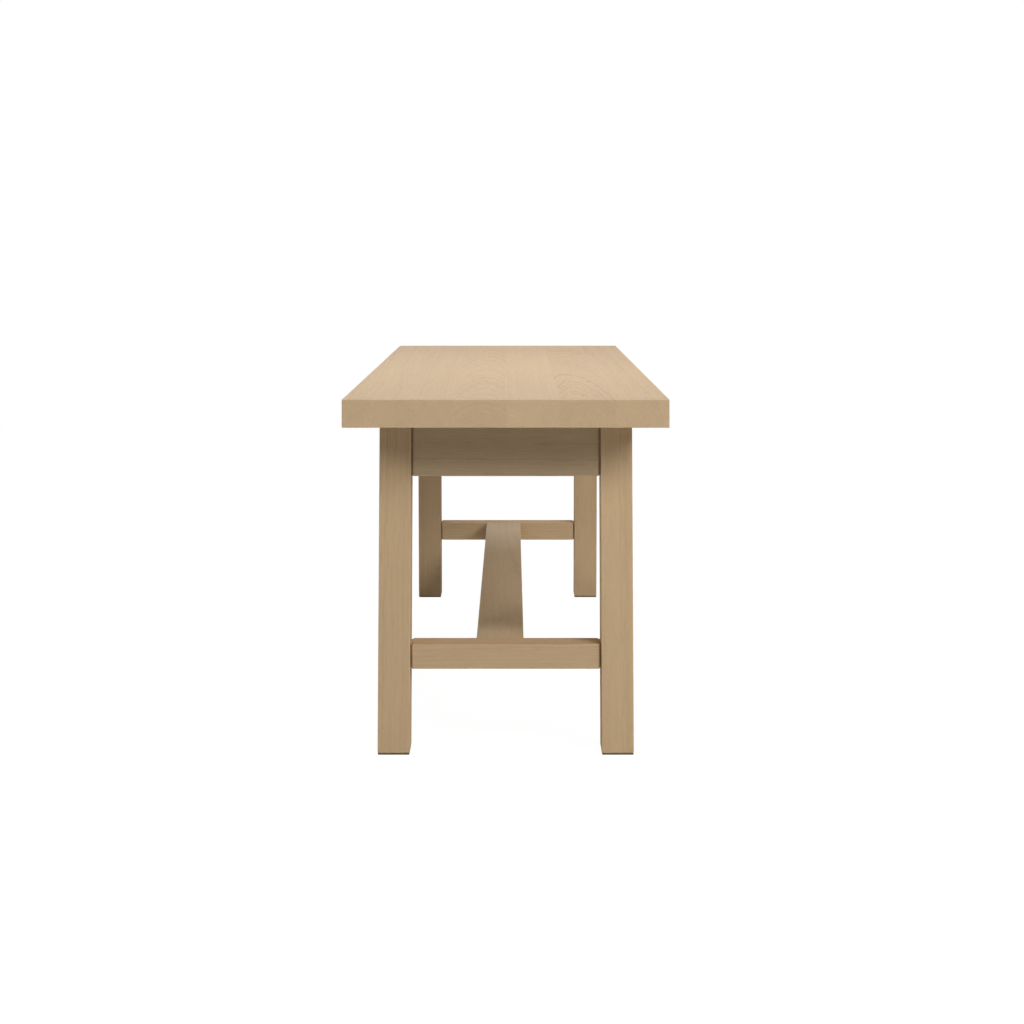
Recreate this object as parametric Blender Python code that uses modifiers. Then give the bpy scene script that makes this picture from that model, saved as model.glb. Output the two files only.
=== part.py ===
"""Oak bench: a seat of edge-glued staves on two leaning end frames tied by one long beam.

Metres, +Z up. The bench runs along Y and the origin is on the floor under the middle of the seat.
Front is the -Y end and left is the -X side. Each end frame is built in its own coordinates, where
+Y points in to the middle of the bench and the outer faces of the legs start at Y = 0 on the floor.
"""

from math import cos, pi, radians, sin, tan

import bmesh
import bpy
from mathutils import Matrix

# Seat
seat_length = 1.200
seat_width = 0.400
seat_thickness = 0.0345
seat_height = 0.448
stave_count = 6

# Legs: width along X, depth along the floor, and where they stand under the seat
leg_width = 0.040
leg_depth = 0.044
leg_lean = radians(5)
side_overhang = 0.040
foot_setback = 0.054

# Rails between the legs of one frame, set back from the outer faces of the legs. A shallow groove
# down both faces of a rail at each end leaves a shadow line along the leg
groove_width = 0.0023
groove_depth = 0.0028
apron_height = 0.0695
apron_thickness = 0.026
apron_recess = 0.0035
stretcher_height = 0.0305
stretcher_depth = 0.038
stretcher_recess = 0.0035
stretcher_top = 0.135

# Beam between the two frames, flush with the tops of the stretchers and a little left of the middle
beam_width = 0.060
beam_thickness = 0.030
beam_offset = -0.0074

# Blind mortise and tenon joints
mortise_wall = 0.014
mortise_relief = 0.001
apron_tenon_thickness = 0.010
apron_shoulder = 0.010
haunch_height = 0.015
haunch_length = 0.008
stretcher_tenon_thickness = 0.014
stretcher_shoulder = 0.006
beam_tenon_length = 0.020
beam_tenon_width = 0.040
beam_tenon_thickness = 0.014

# Cleats that hold the seat on the aprons
cleat_height = 0.028
cleat_depth = 0.028
cleat_end_room = 0.010
screw_end_margin = 0.026
seat_screw_count = 4
seat_counterbore = 0.010
apron_counterbore = 0.008
slot_travel = 0.004

# Pan-head wood screws and their washers
shank_radius = 0.00225
head_radius = 0.0045
head_height = 0.0030
tip_length = 0.004
seat_screw_length = 0.040
apron_screw_length = 0.036
washer_radius = 0.0060
washer_thickness = 0.0012

# Felt pads under the feet
pad_thickness = 0.0020
pad_inset = 0.0003
pad_corner = 0.0012

# Fits, edge treatment and fineness of round pieces
fit_gap = 0.0003
cut_overrun = 0.005
edge_ease = 0.0007
ease_segments = 2
round_segments = 16
dome_segments = 4
merge_distance = 0.00001

# Finishes: linear colour, roughness and metallic value
oak_finish = ((0.474, 0.337, 0.202), 0.55, 0.0)
felt_finish = ((0.060, 0.046, 0.036), 0.95, 0.0)
zinc_finish = ((0.560, 0.570, 0.560), 0.35, 1.0)

# Sizes that follow from the ones above
lean_rate = tan(leg_lean)
seat_underside = seat_height - seat_thickness
foot_level = pad_thickness + fit_gap
frame_top = seat_underside - fit_gap
frame_width = seat_width - 2 * side_overhang
rail_length = frame_width - 2 * (leg_width + groove_width)
leg_place = (frame_width - leg_width) / 2
tenon_length = groove_width + leg_width - mortise_wall
frame_distance = seat_length / 2 - foot_setback
beam_level = stretcher_top - beam_thickness / 2
cleat_length = rail_length - 2 * cleat_end_room
cleat_level = frame_top - cleat_height / 2
screw_pitch = (cleat_length - 2 * screw_end_margin) / (seat_screw_count - 1)

# The apron and its cleat meet on a leaning face; the cleat's other long face is plumb
apron_back = apron_recess + apron_thickness
cleat_front = frame_top * lean_rate + apron_back + fit_gap
cleat_middle = cleat_front + cleat_depth / 2
cleat_back = cleat_front + cleat_depth


def new_collection(name):
    """Return an empty collection in the scene."""
    collection = bpy.data.collections.new(name)
    bpy.context.scene.collection.children.link(collection)
    return collection


def block(size):
    """Return the mesh of a box about the origin."""
    mesh = bmesh.new()
    bmesh.ops.create_cube(mesh, size=1.0)
    bmesh.ops.scale(mesh, vec=size, verts=mesh.verts)
    return mesh


def cylinder(radius, length):
    """Return the mesh of a cylinder that stands on Z about the origin."""
    mesh = bmesh.new()
    bmesh.ops.create_cone(mesh, cap_ends=True, segments=round_segments,
                          radius1=radius, radius2=radius, depth=length)
    return mesh


def slot(radius, length):
    """Return a cylinder drawn out along X by the travel of a screw in its slot."""
    mesh = cylinder(radius, length)
    for vert in mesh.verts:
        if vert.co.x > merge_distance:
            vert.co.x += slot_travel / 2
        elif vert.co.x < -merge_distance:
            vert.co.x -= slot_travel / 2
    return mesh


def ease(mesh, size=edge_ease, chosen=None):
    """Take the sharpness off the chosen edges, or off all of them."""
    edges = [edge for edge in mesh.edges if chosen is None or chosen(edge)]
    bmesh.ops.bevel(mesh, geom=edges, offset=size, offset_type="OFFSET", profile=0.5,
                    segments=ease_segments, affect="EDGES", clamp_overlap=True)


def lean(mesh):
    """Lean a frame piece about its own middle, with its level edges kept level."""
    shear = Matrix.Shear("XY", 4, (0.0, lean_rate))
    bmesh.ops.transform(mesh, matrix=shear, verts=mesh.verts)


def is_along(edge, axis):
    """Tell whether an edge runs along one axis, 0 for X, 1 for Y and 2 for Z."""
    way = (edge.verts[1].co - edge.verts[0].co).normalized()
    return abs(way[axis]) > cos(leg_lean) - merge_distance


def give_finish(data, finish):
    """Give a mesh a material of its own."""
    colour, roughness, metallic = finish
    material = bpy.data.materials.new(data.name + "_finish")
    material.use_nodes = True
    shader = material.node_tree.nodes["Principled BSDF"]
    shader.inputs["Base Color"].default_value = (*colour, 1.0)
    shader.inputs["Roughness"].default_value = roughness
    shader.inputs["Metallic"].default_value = metallic
    data.materials.append(material)


def add_piece(name, mesh, place, finish, parent=None):
    """Add one piece of the bench from its mesh."""
    data = bpy.data.meshes.new(name)
    mesh.to_mesh(data)
    mesh.free()
    piece = bpy.data.objects.new(name, data)
    piece.location = place
    piece.parent = parent
    parts.objects.link(piece)
    give_finish(data, finish)
    return piece


def add_tool(name, mesh, place, parent=None):
    """Add a hidden shape that cuts a piece or is joined to it."""
    data = bpy.data.meshes.new(name)
    mesh.to_mesh(data)
    mesh.free()
    tool = bpy.data.objects.new(name, data)
    tool.location = place
    tool.parent = parent
    tool.hide_render = True
    tool.display_type = "WIRE"
    tools.objects.link(tool)
    return tool


def combine(piece, tool, operation):
    """Cut a piece by a tool, or join the tool to it."""
    change = piece.modifiers.new(tool.name, "BOOLEAN")
    change.operation = operation
    change.solver = "EXACT"
    change.object = tool


def screw_row(count):
    """Return the places along X of a row of screws at their pitch, about the middle of the frame."""
    return [(number - (count - 1) / 2) * screw_pitch for number in range(count)]


def repeat_along_x(tool, count):
    """Repeat a cutter for each screw of a row."""
    array = tool.modifiers.new("screw_row", "ARRAY")
    array.fit_type = "FIXED_COUNT"
    array.count = count
    array.use_relative_offset = False
    array.use_constant_offset = True
    array.constant_offset_displace = (screw_pitch, 0.0, 0.0)
    array.use_merge_vertices = False
    tool.location.x = screw_row(count)[0]


def turned_mesh(name, profile, closed):
    """Return the outline of a turned metal piece from its radii and heights, listed down its outer side."""
    mesh = bmesh.new()
    verts = [mesh.verts.new((radius, 0.0, height)) for radius, height in profile]
    followers = verts[1:] + verts[:1] if closed else verts[1:]
    for vert, follower in zip(verts, followers):
        mesh.edges.new((vert, follower))
    data = bpy.data.meshes.new(name)
    mesh.to_mesh(data)
    mesh.free()
    return data


def add_turned_row(name, data, count, depth_in, level, frame, tilt=0.0):
    """Add a row of like turned pieces, each an object of its own on one shared outline."""
    for number, place_x in enumerate(screw_row(count), start=1):
        piece = bpy.data.objects.new("%s_%d" % (name, number), data)
        piece.location = (place_x, depth_in, level)
        piece.rotation_euler.x = tilt
        piece.parent = frame
        parts.objects.link(piece)
        turn = piece.modifiers.new("turn", "SCREW")
        turn.axis = "Z"
        turn.angle = 2 * pi
        turn.steps = round_segments
        turn.render_steps = round_segments
        turn.use_merge_vertices = True
        turn.merge_threshold = merge_distance
        turn.use_smooth_shade = True
    give_finish(data, zinc_finish)


def screw_profile(length):
    """Return a pan-head screw's profile, with its head below Z = 0 and its tip at the top."""
    profile = [(0.0, length), (shank_radius, length - tip_length), (shank_radius, 0.0)]
    for step in range(dome_segments + 1):
        angle = pi / 2 * step / dome_segments
        profile.append((head_radius * cos(angle), -head_height * sin(angle)))
    profile[-1] = (0.0, -head_height)
    return profile


def washer_profile():
    """Return the closed profile of a flat washer that lies on Z = 0."""
    hole = shank_radius + fit_gap
    return [(washer_radius, washer_thickness), (washer_radius, 0.0), (hole, 0.0), (hole, washer_thickness)]


def frame_point(x, depth_in, level):
    """Return a place in a frame from its height and its depth behind the outer faces of the legs."""
    return (x, level * lean_rate + depth_in, level)


def add_seat(pilot_holes):
    """Add the staves side by side, with pilot holes for the seat screws in their undersides."""
    stave_pitch = (seat_width + fit_gap) / stave_count
    stave_width = stave_pitch - fit_gap
    level = seat_height - seat_thickness / 2
    for number in range(stave_count):
        place_x = (number - (stave_count - 1) / 2) * stave_pitch

        def on_seat_outline(edge):
            middle = (edge.verts[0].co + edge.verts[1].co) / 2
            faces = (abs(middle.x + place_x) > seat_width / 2 - fit_gap,
                     abs(middle.y) > seat_length / 2 - fit_gap,
                     abs(middle.z) > seat_thickness / 2 - fit_gap)
            return sum(faces) == 2

        mesh = block((stave_width, seat_length, seat_thickness))
        ease(mesh, chosen=on_seat_outline)
        stave = add_piece("top_stave_%d" % (number + 1), mesh, (place_x, 0.0, level), oak_finish)
        for tool in pilot_holes:
            combine(stave, tool, "DIFFERENCE")


def add_rail_bar(name, frame, overlength, thickness, height, depth_in, level):
    """Add a leaning bar that is longer than the rails by one length at each end."""
    bar = block((rail_length + 2 * overlength, thickness, height))
    lean(bar)
    return add_tool(name, bar, frame_point(0.0, depth_in, level), frame)


def add_shoulders(rail, frame, thickness, height, depth_in, level):
    """Carry a rail's core on to the legs, which leaves a shadow groove in each face at its ends."""
    core = add_rail_bar("%s_shoulders" % rail.name, frame, groove_width - fit_gap,
                        thickness - 2 * groove_depth, height - 2 * edge_ease, depth_in, level)
    combine(rail, core, "UNION")


def add_tenon_bar(name, end, frame, length, thickness, height, depth_in, level):
    """Add the bar whose two ends are a rail's tenons, and the same bar with clearance for the mortises."""
    tenon = add_rail_bar("%s_%s_tenons" % (end, name), frame, length, thickness, height, depth_in, level)
    mortise = add_rail_bar("%s_%s_mortises" % (end, name), frame, length + mortise_relief,
                           thickness + 2 * fit_gap, height + 2 * fit_gap, depth_in, level)
    return tenon, mortise


def add_legs(end, frame, side_names, mortises):
    """Add the two legs of a frame and the pads under their feet."""
    height = frame_top - foot_level
    level = (frame_top + foot_level) / 2
    for side, name in side_names:
        mesh = block((leg_width, leg_depth, height))
        lean(mesh)
        ease(mesh)
        place = frame_point(side * leg_place, leg_depth / 2, level)
        leg = add_piece("%s_%s_leg" % (end, name), mesh, place, oak_finish, frame)
        for mortise in mortises:
            combine(leg, mortise, "DIFFERENCE")

        pad = block((leg_width - 2 * pad_inset, leg_depth - 2 * pad_inset, pad_thickness))
        ease(pad, size=pad_corner, chosen=lambda edge: is_along(edge, 2))
        pad_place = (side * leg_place, foot_level * lean_rate + leg_depth / 2, pad_thickness / 2)
        add_piece("%s_%s_pad" % (end, name), pad, pad_place, felt_finish, frame)


def add_apron(end, frame, screw_holes):
    """Add the apron with its haunched tenons, and return the mortises that it needs."""
    level = frame_top - apron_height / 2
    mesh = block((rail_length, apron_thickness, apron_height))
    lean(mesh)
    ease(mesh)
    depth_in = apron_recess + apron_thickness / 2
    apron = add_piece("%s_apron" % end, mesh, frame_point(0.0, depth_in, level), oak_finish, frame)
    add_shoulders(apron, frame, apron_thickness, apron_height, depth_in, level)

    tenon_bottom = frame_top - apron_height + apron_shoulder
    tenon_top = frame_top - haunch_height
    tenon, mortise = add_tenon_bar(
        "apron", end, frame, tenon_length, apron_tenon_thickness,
        tenon_top - tenon_bottom, depth_in, (tenon_top + tenon_bottom) / 2)
    haunch, haunch_groove = add_tenon_bar(
        "haunch", end, frame, groove_width + haunch_length, apron_tenon_thickness,
        frame_top - level, depth_in, (frame_top + level) / 2)
    combine(apron, tenon, "UNION")
    combine(apron, haunch, "UNION")
    combine(apron, screw_holes, "DIFFERENCE")
    return [mortise, haunch_groove]


def add_stretcher(end, frame, beam_x):
    """Add the lower stretcher with a mortise for the beam, and return the mortises that it needs."""
    level = stretcher_top - stretcher_height / 2
    mesh = block((rail_length, stretcher_depth, stretcher_height))
    lean(mesh)
    ease(mesh)
    depth_in = stretcher_recess + stretcher_depth / 2
    stretcher = add_piece("%s_stretcher" % end, mesh, frame_point(0.0, depth_in, level), oak_finish, frame)
    add_shoulders(stretcher, frame, stretcher_depth, stretcher_height, depth_in, level)

    tenon, mortise = add_tenon_bar(
        "stretcher", end, frame, tenon_length, stretcher_tenon_thickness,
        stretcher_height - 2 * stretcher_shoulder, depth_in, level)
    combine(stretcher, tenon, "UNION")

    socket_bottom = stretcher_recess + stretcher_depth - beam_tenon_length - mortise_relief
    socket_mouth = stretcher_recess + stretcher_depth + cut_overrun
    socket = block((beam_tenon_width + 2 * fit_gap, socket_mouth - socket_bottom,
                    beam_tenon_thickness + 2 * fit_gap))
    place = frame_point(beam_x, (socket_mouth + socket_bottom) / 2, beam_level)
    combine(stretcher, add_tool("%s_beam_socket" % end, socket, place, frame), "DIFFERENCE")
    return [mortise]


def add_cleat(end, frame, screw_holes, tools_below):
    """Add the cleat, whose face towards the leaning apron is planed to the same angle."""
    mesh = block((cleat_length, cleat_depth, cleat_height))
    for vert in mesh.verts:
        if vert.co.y < 0:
            vert.co.y -= (cleat_height / 2 - vert.co.z) * lean_rate
    ease(mesh)
    place = (0.0, cleat_middle, cleat_level)
    cleat = add_piece("%s_cleat" % end, mesh, place, oak_finish, frame)
    for tool in [screw_holes, *tools_below]:
        combine(cleat, tool, "DIFFERENCE")


def add_seat_fixings(end, frame):
    """Add the screws and washers that hold the seat on the cleat, and return the cutters for their holes."""
    ledge = frame_top - cleat_height + seat_counterbore
    washer_level = ledge - fit_gap - washer_thickness
    head_level = washer_level - fit_gap
    tip_level = head_level + seat_screw_length

    washer = turned_mesh("%s_seat_washer" % end, washer_profile(), closed=True)
    add_turned_row("%s_seat_washer" % end, washer, seat_screw_count, cleat_middle, washer_level, frame)
    screw = turned_mesh("%s_seat_screw" % end, screw_profile(seat_screw_length), closed=False)
    add_turned_row("%s_seat_screw" % end, screw, seat_screw_count, cleat_middle, head_level, frame)

    hole_radius = shank_radius + fit_gap
    slot_top = frame_top + cut_overrun
    slot_middle = (slot_top + ledge) / 2
    slots = add_tool("%s_slots" % end, slot(hole_radius, slot_top - ledge + cut_overrun),
                     (0.0, cleat_middle, slot_middle), frame)
    bottom = frame_top - cleat_height - cut_overrun
    recesses = add_tool("%s_recesses" % end, slot(washer_radius + fit_gap, ledge - bottom),
                        (0.0, cleat_middle, (ledge + bottom) / 2), frame)
    pilot_top = tip_level + mortise_relief
    pilot_bottom = seat_underside - cut_overrun
    pilots = add_tool("%s_pilot_holes" % end, cylinder(hole_radius, pilot_top - pilot_bottom),
                      (0.0, cleat_middle, (pilot_top + pilot_bottom) / 2), frame)
    for tool in (slots, recesses, pilots):
        repeat_along_x(tool, seat_screw_count)
    return [slots, recesses], pilots


def add_apron_fixings(end, frame):
    """Add the screws that hold the cleat on the apron, midway between the seat screws."""
    count = seat_screw_count - 1
    ledge = cleat_back - apron_counterbore
    head = ledge + fit_gap
    tip = head - apron_screw_length

    screw = turned_mesh("%s_apron_screw" % end, screw_profile(apron_screw_length), closed=False)
    add_turned_row("%s_apron_screw" % end, screw, count, head, cleat_level, frame, tilt=pi / 2)

    back = cleat_back + cut_overrun
    front = tip - mortise_relief
    holes = add_tool("%s_apron_screw_holes" % end, cylinder(shank_radius + fit_gap, back - front),
                     (0.0, (back + front) / 2, cleat_level), frame)
    recesses = add_tool("%s_apron_recesses" % end, cylinder(head_radius + fit_gap, back - ledge),
                        (0.0, (back + ledge) / 2, cleat_level), frame)
    for tool in (holes, recesses):
        tool.rotation_euler.x = pi / 2
        repeat_along_x(tool, count)
    return holes, recesses


def add_end_frame(end, turn):
    """Add one end frame, which is built facing -Y and turned into place by its empty."""
    frame = bpy.data.objects.new("%s_frame" % end, None)
    frame.location.y = -frame_distance * cos(turn)
    frame.rotation_euler.z = turn
    parts.objects.link(frame)

    facing = round(cos(turn))
    side_names = [(-facing, "left"), (facing, "right")]
    cleat_cuts, pilots = add_seat_fixings(end, frame)
    apron_holes, apron_recesses = add_apron_fixings(end, frame)
    mortises = add_apron(end, frame, apron_holes)
    mortises += add_stretcher(end, frame, beam_offset * facing)
    add_legs(end, frame, side_names, mortises)
    add_cleat(end, frame, apron_holes, [apron_recesses, *cleat_cuts])
    return pilots


def add_beam():
    """Add the beam, whose shoulders lean with the stretchers that it meets."""
    half_span = (frame_distance - beam_level * lean_rate - stretcher_recess - stretcher_depth - fit_gap)
    mesh = block((beam_width, 2 * half_span, beam_thickness))
    for vert in mesh.verts:
        reach = half_span - vert.co.z * lean_rate
        vert.co.y = reach if vert.co.y > 0 else -reach
    ease(mesh, chosen=lambda edge: is_along(edge, 1))
    place = (beam_offset, 0.0, beam_level)
    beam = add_piece("centre_beam", mesh, place, oak_finish)
    tenons = block((beam_tenon_width, 2 * (half_span + beam_tenon_length), beam_tenon_thickness))
    combine(beam, add_tool("beam_tenons", tenons, place), "UNION")


for thing in list(bpy.data.objects):
    bpy.data.objects.remove(thing, do_unlink=True)
parts = new_collection("oak_bench")
tools = new_collection("oak_bench_tools")

front_pilots = add_end_frame("front", 0.0)
back_pilots = add_end_frame("back", pi)
add_beam()
add_seat([front_pilots, back_pilots])
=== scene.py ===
from math import cos, pi, radians, sin, tan

import bmesh
import bpy
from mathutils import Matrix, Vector


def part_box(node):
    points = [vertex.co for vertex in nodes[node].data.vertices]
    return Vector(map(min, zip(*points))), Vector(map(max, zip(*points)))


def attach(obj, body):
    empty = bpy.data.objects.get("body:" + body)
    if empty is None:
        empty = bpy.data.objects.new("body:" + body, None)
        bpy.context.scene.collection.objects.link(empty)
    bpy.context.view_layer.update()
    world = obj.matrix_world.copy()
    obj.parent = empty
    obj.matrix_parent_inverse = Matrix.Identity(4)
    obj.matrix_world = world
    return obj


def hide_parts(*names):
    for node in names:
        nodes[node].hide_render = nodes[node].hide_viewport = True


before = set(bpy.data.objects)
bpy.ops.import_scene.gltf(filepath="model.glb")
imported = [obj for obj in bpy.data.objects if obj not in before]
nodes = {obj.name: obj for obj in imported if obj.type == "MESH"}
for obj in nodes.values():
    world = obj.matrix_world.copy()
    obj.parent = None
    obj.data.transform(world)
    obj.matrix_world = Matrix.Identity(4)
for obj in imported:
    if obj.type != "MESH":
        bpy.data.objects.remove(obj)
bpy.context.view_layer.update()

# Camera. It stands level, 2.3 m from the near end of the bench and a little right of its middle
# line, and looks straight along the bench, so upright edges stay upright. The shift alone brings
# the bench, which lies wholly below eye level, to the middle of the picture.
image_side = 1024
focal_length_px = 1888
horizon_row = 242.4
camera_place = Vector((0.0078, -2.902, 0.6396))

camera_data = bpy.data.cameras.new("end_view")
camera_data.sensor_width = 36
camera_data.lens = focal_length_px / image_side * camera_data.sensor_width
camera_data.shift_y = horizon_row / image_side - 0.5
camera = bpy.data.objects.new("end_view", camera_data)
camera.location = camera_place
camera.rotation_euler = (radians(90), 0, 0)
bpy.context.scene.collection.objects.link(camera)
bpy.context.scene.camera = camera

# Studio. A large soft box in front on the right is the main light, a small one fills in from the
# left, a low one lights the sides turned away, and two light the top, the upper one through a
# honeycomb grid. The surround and the floor are white, and the floor takes a faint shadow.
near_aim = Vector((0, -0.20, 0.30))
seat_aim = Vector((0, -0.05, 0.30))
main_box = dict(place=(2.70, -3.20, 2.80), aim=near_aim, width=2.6, height=2.2, power=152, spread=180)
fill_box = dict(place=(-2.57, -2.77, 2.40), aim=near_aim, width=0.9, height=0.9, power=22, spread=180)
side_box = dict(place=(-3.20, 1.60, 0.90), aim=near_aim, width=1.2, height=1.0, power=20, spread=180)
back_box = dict(place=(0.00, 2.80, 2.60), aim=near_aim, width=2.4, height=1.6, power=35, spread=180)
top_box = dict(place=(0.00, 0.00, 3.00), aim=seat_aim, width=1.2, height=1.2, power=1.85, spread=40)
surround_strength = 0.01
floor_side = 60
floor_paper = "#E1E6E9"
floor_whitening = 0.90
glow_strength = 1.08
even_white_reach = (1.0, 4.0)


def linear(hex_colour):
    """Turn an sRGB hex colour into the linear RGBA that shaders take."""
    channels = [int(hex_colour[start:start + 2], 16) / 255 for start in (1, 3, 5)]
    return [c / 12.92 if c <= 0.04045 else ((c + 0.055) / 1.055) ** 2.4 for c in channels] + [1]


def add(tree, kind, inputs=None, **settings):
    """Add a node, give it its settings, and fill its inputs with values, other nodes or their outputs."""
    node = tree.nodes.new(kind)
    for name, value in settings.items():
        setattr(node, name, value)
    for key, value in (inputs or {}).items():
        if isinstance(value, bpy.types.Node):
            value = next(output for output in value.outputs if output.enabled)
        if isinstance(value, bpy.types.NodeSocket):
            tree.links.new(value, node.inputs[key])
        else:
            node.inputs[key].default_value = value
    return node


def empty_material(name):
    """Return a new material and its node tree, with nothing in it."""
    material = bpy.data.materials.new(name)
    material.use_nodes = True
    material.node_tree.nodes.clear()
    return material, material.node_tree


world = bpy.data.worlds.new("white_surround")
bpy.context.scene.world = world
world.use_nodes = True
tree = world.node_tree
tree.nodes.clear()
rays = add(tree, "ShaderNodeLightPath")
seen = add(tree, "ShaderNodeMath", {0: rays.outputs["Is Camera Ray"], 1: rays.outputs["Is Glossy Ray"]},
           operation="MAXIMUM")
seen = add(tree, "ShaderNodeMath", {0: seen, 1: rays.outputs["Is Transmission Ray"]}, operation="MAXIMUM")
white = add(tree, "ShaderNodeBackground", {"Color": linear("#FFFFFF"), "Strength": 1})
soft = add(tree, "ShaderNodeBackground", {"Color": linear("#FFFFFF"), "Strength": surround_strength})
mixed = add(tree, "ShaderNodeMixShader", {0: seen, 1: soft, 2: white})
add(tree, "ShaderNodeOutputWorld", {"Surface": mixed})
bpy.context.scene.view_settings.view_transform = "Standard"

for name, box in (("main_soft_box", main_box), ("fill_soft_box", fill_box), ("side_soft_box", side_box),
                  ("back_soft_box", back_box), ("top_soft_box", top_box)):
    lamp = bpy.data.lights.new(name, "AREA")
    lamp.shape = "RECTANGLE"
    lamp.size = box["width"]
    lamp.size_y = box["height"]
    lamp.energy = box["power"]
    lamp.spread = radians(box["spread"])
    lamp_object = bpy.data.objects.new(name, lamp)
    lamp_object.location = box["place"]
    lamp_object.rotation_euler = (box["aim"] - lamp_object.location).to_track_quat("-Z", "Y").to_euler()
    bpy.context.scene.collection.objects.link(lamp_object)

floor_mesh = bmesh.new()
bmesh.ops.create_grid(floor_mesh, x_segments=1, y_segments=1, size=floor_side / 2)
floor_data = bpy.data.meshes.new("floor")
floor_mesh.to_mesh(floor_data)
floor_mesh.free()
floor = bpy.data.objects.new("floor", floor_data)
bpy.context.scene.collection.objects.link(floor)

# Matt white vinyl: dull, even and a little cool. The eye gets most of its white straight from its
# glow, and all of it away from the bench, so that the floor ends nowhere.
material, tree = empty_material("matt_white_vinyl")
rays = add(tree, "ShaderNodeLightPath")
vinyl = add(tree, "ShaderNodeBsdfDiffuse", {"Color": linear(floor_paper)})
glow = add(tree, "ShaderNodeEmission", {"Color": linear("#FFFFFF"), "Strength": glow_strength})
share = add(tree, "ShaderNodeMath", {0: rays.outputs["Is Camera Ray"], 1: floor_whitening},
            operation="MULTIPLY")
near_floor = add(tree, "ShaderNodeMixShader", {0: share, 1: vinyl, 2: glow})
here = add(tree, "ShaderNodeTexCoord")
away = add(tree, "ShaderNodeVectorMath", {0: here.outputs["Object"]}, operation="LENGTH")
away = add(tree, "ShaderNodeMapRange", {"Value": away, "From Min": even_white_reach[0],
                                        "From Max": even_white_reach[1]}, interpolation_type="SMOOTHSTEP")
share = add(tree, "ShaderNodeMath", {0: away, 1: rays.outputs["Is Camera Ray"]}, operation="MULTIPLY")
plain_white = add(tree, "ShaderNodeEmission", {"Color": linear("#FFFFFF"), "Strength": 1})
whole_floor = add(tree, "ShaderNodeMixShader", {0: share, 1: near_floor, 2: plain_white})
add(tree, "ShaderNodeOutputMaterial", {"Surface": whole_floor})
floor_data.materials.append(material)

# Seat. Six staves of solid white oak, glued edge to edge with the grain along the bench, planed
# flush, sanded and wiped with a matt oil. Sawn near the middle of the log, some show arches, the
# others straight lines, and all of them show the ends of their rings on the end of the seat.
ring_width = 0.0030
pore_size = (0.0008, 0.0008, 0.018)
fibre_size = (0.0013, 0.0013, 0.045)
streak_size = (0.0045, 0.0045, 0.110)
jag_size = (0.0028, 0.0028, 0.050)
drift_size = (0.050, 0.050, 0.400)
ray_size = (0.0010, 0.014, 0.006)
noise_mean = (0.5, 0.5, 0.5)
slow_bend = ((0.110, 0.110, 0.500), 0.008)
fine_bend = ((0.020, 0.020, 0.120), 0.0011)
late_wood = "#CBAE89"
early_wood = "#B8986F"
pore_brown = "#8A6F50"
ray_cream = "#D6BE9B"
edge_line_width = 0.0016
oak_ior = 1.45
full_polish = 0.5
low_polish = 0.1
ring_wander = 2.2
ring_jags = 1.3
ring_contrast = 0.55
pore_contrast = 0.30
fleck_contrast = 0.14
fibre_tone = 0.19
drift_tone = 0.14
streak_tone = 0.08
sawn_end_painted_light = 0.05
sawn_end_flecks = 0.10
sawn_end_cover = 0.40
sawn_facing = (0.75, 0.95)
noise_roughness = 0.55
spacing_change = 0.31
spring_rise = 0.14
summer_fall = (0.20, 0.95)
year_strength = (0.35, 0.90)
fibre_break = (0.20, 1.60)
pore_levels = (0.53, 0.68)
porous_share = (0.30, 0.80)
ray_radius = 0.09
ray_levels = (0.60, 0.74)
fibre_relief = 0.25
relief_strength = 0.35
relief_depth = 0.0004
oak_roughness = 0.70
pore_roughness = 0.20
edge_smoothness = 0.08
# Painted highlight: how much paler the line along each edge is painted.
painted_edge_highlight = 0.10
staves = [
    dict(pith=(0.060, 0, -0.120), tilt=(0.5, 0.4), seed=1.7, tone=1.00, clear=0.40),
    dict(pith=(-0.090, 0, -0.080), tilt=(-0.4, 0.8), seed=3.1, tone=0.99, clear=0.45),
    dict(pith=(0.005, 0, -0.060), tilt=(-1.8, 0.3), seed=5.9, tone=1.00, clear=0.70),
    dict(pith=(0.130, 0, -0.040), tilt=(0.3, -0.5), seed=7.2, tone=1.02, clear=0.50),
    dict(pith=(-0.012, 0, -0.045), tilt=(-3.0, -0.3), seed=9.4, tone=1.01, clear=1.00),
    dict(pith=(-0.080, 0, -0.045), tilt=(-0.8, 0.5), seed=11.8, tone=1.01, clear=0.80),
]

# The figure is worked out in the log: growth rings round the pith, whose porous early wood breaks
# into jags along the grain, fine fibres, slow drifts, and rays that run out from the pith. The real
# pores are 0.3 mm wide and are drawn at more than twice that, so that they show. A sawn end drinks
# more oil, which hides part of its ring pattern, and it is painted a little lighter: painted light
# on the ends. Above, two numbers in brackets are the start and the end of a change, or a base and
# what is added to it.
figure = bpy.data.node_groups.new("oak_figure", "ShaderNodeTree")
for name, kind in (("Log place", "Vector"), ("Seed", "Float"), ("Ring width", "Float"),
                   ("Clearness", "Float"), ("Sawn end", "Float")):
    figure.interface.new_socket(name, in_out="INPUT", socket_type="NodeSocket" + kind)
for name, kind in (("Colour", "Color"), ("Pores", "Float"), ("Relief", "Float")):
    figure.interface.new_socket(name, in_out="OUTPUT", socket_type="NodeSocket" + kind)
given = add(figure, "NodeGroupInput")
seed = given.outputs["Seed"]


def grains(place, size, detail=0):
    """Return a noise in the log whose grains have the given size across and along it."""
    scaled = add(figure, "ShaderNodeVectorMath", {0: place, 1: [1 / side for side in size]},
                 operation="MULTIPLY")
    return add(figure, "ShaderNodeTexNoise", {"Vector": scaled, "W": seed, "Scale": 1, "Detail": detail,
                                              "Roughness": noise_roughness}, noise_dimensions="4D")


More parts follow.
